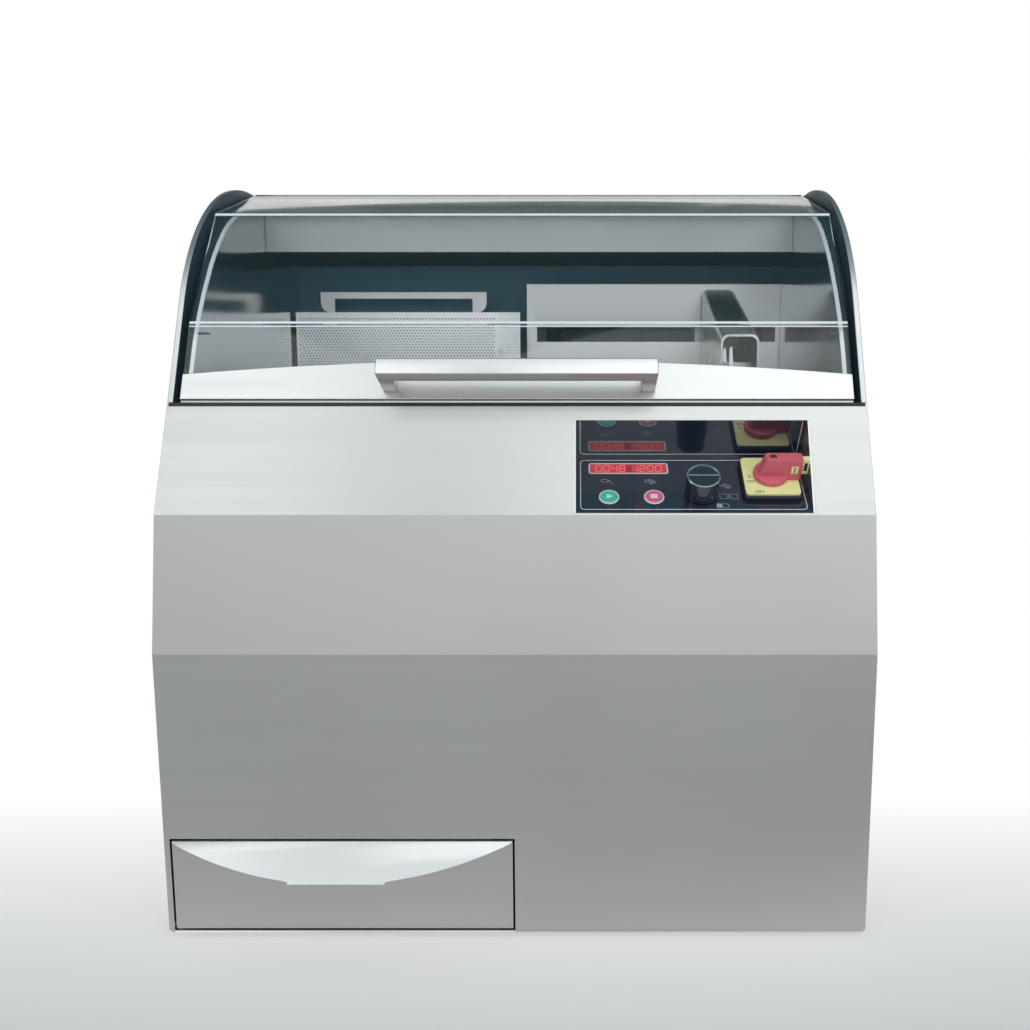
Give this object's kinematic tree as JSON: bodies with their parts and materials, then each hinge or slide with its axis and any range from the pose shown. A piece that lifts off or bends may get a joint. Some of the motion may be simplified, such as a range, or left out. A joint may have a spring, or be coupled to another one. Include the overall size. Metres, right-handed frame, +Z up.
{
  "type": "bread slicer",
  "caption": "Counter-top bread slicer: faceted steel cabinet, hinged clear hood over the slicing bay, control pocket, feed gripper, orbiting round blade and a crumb drawer below.",
  "frame": {"origin": "middle of the footprint on the table, under the feet", "axes": "+Z up, +Y to the back, +X to the user's right as they face the front"},
  "size_m": [0.726, 0.6338, 0.816],
  "materials": {
    "casing_steel": "horizontal brush",
    "chamber_steel": "fine brush",
    "bright_steel": "polished",
    "cast_alloy": "machined",
    "motor_paint": "satin",
    "belt_rubber": "matt",
    "foot_rubber": "matt",
    "clear_hood": "clear, slightly smoky",
    "black_gloss": "gloss",
    "black_plastic": "satin",
    "display_red": "gloss",
    "board_green": "satin",
    "start_green": "gloss",
    "stop_red": "gloss",
    "isolator_yellow": "satin",
    "isolator_red": "satin"
  },
  "bodies": {
    "cabinet": {"front_panel": "casing_steel", "left_side_panel": "casing_steel", "right_side_panel": "casing_steel", "rear_panel": "casing_steel", "left_cheek": "casing_steel", "right_cheek": "casing_steel", "top_cover": "casing_steel", "base_plate": "casing_steel", "control_pan": "casing_steel", "left_liner": "chamber_steel", "right_liner": "chamber_steel", "left_floor": "chamber_steel", "right_floor": "chamber_steel", "feed_back_panel": "chamber_steel", "bay_wall": "chamber_steel", "crumb_chute": "chamber_steel", "drawer_runners": "chamber_steel", "inner_frame_plate": "chamber_steel", "panel_screws": "bright_steel", "guide_rods": "bright_steel", "button_bezels": "bright_steel", "bearing_housing": "cast_alloy", "rod_blocks": "cast_alloy", "drive_motor": "motor_paint", "feed_motor": "motor_paint", "drive_belt": "belt_rubber", "feed_belt": "belt_rubber", "rubber_feet": "foot_rubber", "control_fascia": "black_gloss", "isolator_base": "black_plastic", "power_inlet": "black_plastic", "display_window": "display_red", "control_board": "board_green", "isolator_plate": "isolator_yellow"},
    "hood": {"hood_glass": "clear_hood", "hood_strip": "casing_steel", "hood_handle": "casing_steel", "hood_hinge_rail": "casing_steel", "hood_bumpers": "foot_rubber"},
    "crumb_drawer": {"drawer_box": "chamber_steel", "drawer_front": "casing_steel", "drawer_lip": "casing_steel"},
    "guard": {"guard_plate": "chamber_steel", "guard_handle": "chamber_steel", "guard_pins": "bright_steel"},
    "gripper": {"gripper_carriage": "cast_alloy", "gripper_cover": "chamber_steel"},
    "claws": {"gripper_claws": "bright_steel"},
    "blade_carrier": {"blade_arm": "cast_alloy", "orbit_shaft": "bright_steel", "planet_belt": "belt_rubber"},
    "blade": {"blade_disc": "bright_steel", "blade_spindle": "bright_steel"},
    "motor_rotor": {"motor_pulley": "cast_alloy"},
    "feed_drive": {"feed_drive_pulley": "cast_alloy"},
    "feed_idler": {"feed_idler_pulley": "cast_alloy"},
    "start_button": {"start_button": "start_green"},
    "stop_button": {"stop_button": "stop_red"},
    "thickness_knob": {"thickness_knob": "black_plastic"},
    "isolator_handle": {"isolator_handle": "isolator_red"}
  },
  "joints": [
    {"name": "hood_hinge", "type": "hinge", "parent": "cabinet", "child": "hood", "pos_m": [0, 0.05591, 0.804], "axis": [-1, 0, 0], "range_deg": [0, 70]},
    {"name": "drawer_slide", "type": "slide", "parent": "cabinet", "child": "crumb_drawer", "axis": [0, -1, 0], "range_m": [0, 0.4]},
    {"name": "guard_lift", "type": "slide", "parent": "cabinet", "child": "guard", "axis": [0, 0, 1], "range_m": [0, 0.035]},
    {"name": "gripper_feed", "type": "slide", "parent": "cabinet", "child": "gripper", "axis": [-1, 0, 0], "range_m": [0, 0.2]},
    {"name": "claw_turn", "type": "hinge", "parent": "gripper", "child": "claws", "pos_m": [0.25, 0.01392, 0.585], "axis": [0, -1, 0], "range_deg": [0, 70], "stiffness_Nm_per_rad": 0.5},
    {"name": "blade_orbit", "type": "hinge", "parent": "cabinet", "child": "blade_carrier", "pos_m": [0, -0.00109, 0.385], "axis": [1, 0, 0], "continuous": true},
    {"name": "blade_spin", "type": "hinge", "parent": "blade_carrier", "child": "blade", "pos_m": [0, -0.00109, 0.3], "axis": [1, 0, 0], "continuous": true},
    {"name": "motor_spin", "type": "hinge", "parent": "cabinet", "child": "motor_rotor", "pos_m": [0, 0.15391, 0.1], "axis": [1, 0, 0], "continuous": true},
    {"name": "feed_drive_spin", "type": "hinge", "parent": "cabinet", "child": "feed_drive", "pos_m": [0.048, 0.19292, 0.6415], "axis": [0, -1, 0], "continuous": true},
    {"name": "feed_idler_spin", "type": "hinge", "parent": "cabinet", "child": "feed_idler", "pos_m": [0.304, 0.19292, 0.6415], "axis": [0, -1, 0], "continuous": true},
    {"name": "start_press", "type": "slide", "parent": "cabinet", "child": "start_button", "axis": [0, 0.5934, -0.8049], "range_m": [0, 0.0025], "stiffness_N_per_m": 400},
    {"name": "stop_press", "type": "slide", "parent": "cabinet", "child": "stop_button", "axis": [0, 0.5934, -0.8049], "range_m": [0, 0.0025], "stiffness_N_per_m": 400},
    {"name": "knob_turn", "type": "hinge", "parent": "cabinet", "child": "thickness_knob", "pos_m": [0.19, -0.23888, 0.46324], "axis": [0, -0.5934, 0.8049], "range_deg": [-150, 150]},
    {"name": "isolator_turn", "type": "hinge", "parent": "cabinet", "child": "isolator_handle", "pos_m": [0.262, -0.2244, 0.47392], "axis": [0, -0.5934, 0.8049], "range_deg": [0, 90]}
  ],
  "couplings": [
    {"joint": "blade_spin", "follows": "blade_orbit", "ratio": -2},
    {"joint": "motor_spin", "follows": "blade_orbit", "ratio": 3},
    {"joint": "feed_drive_spin", "follows": "gripper_feed", "rad_per_m": 100},
    {"joint": "feed_idler_spin", "follows": "gripper_feed", "rad_per_m": 100}
  ]
}
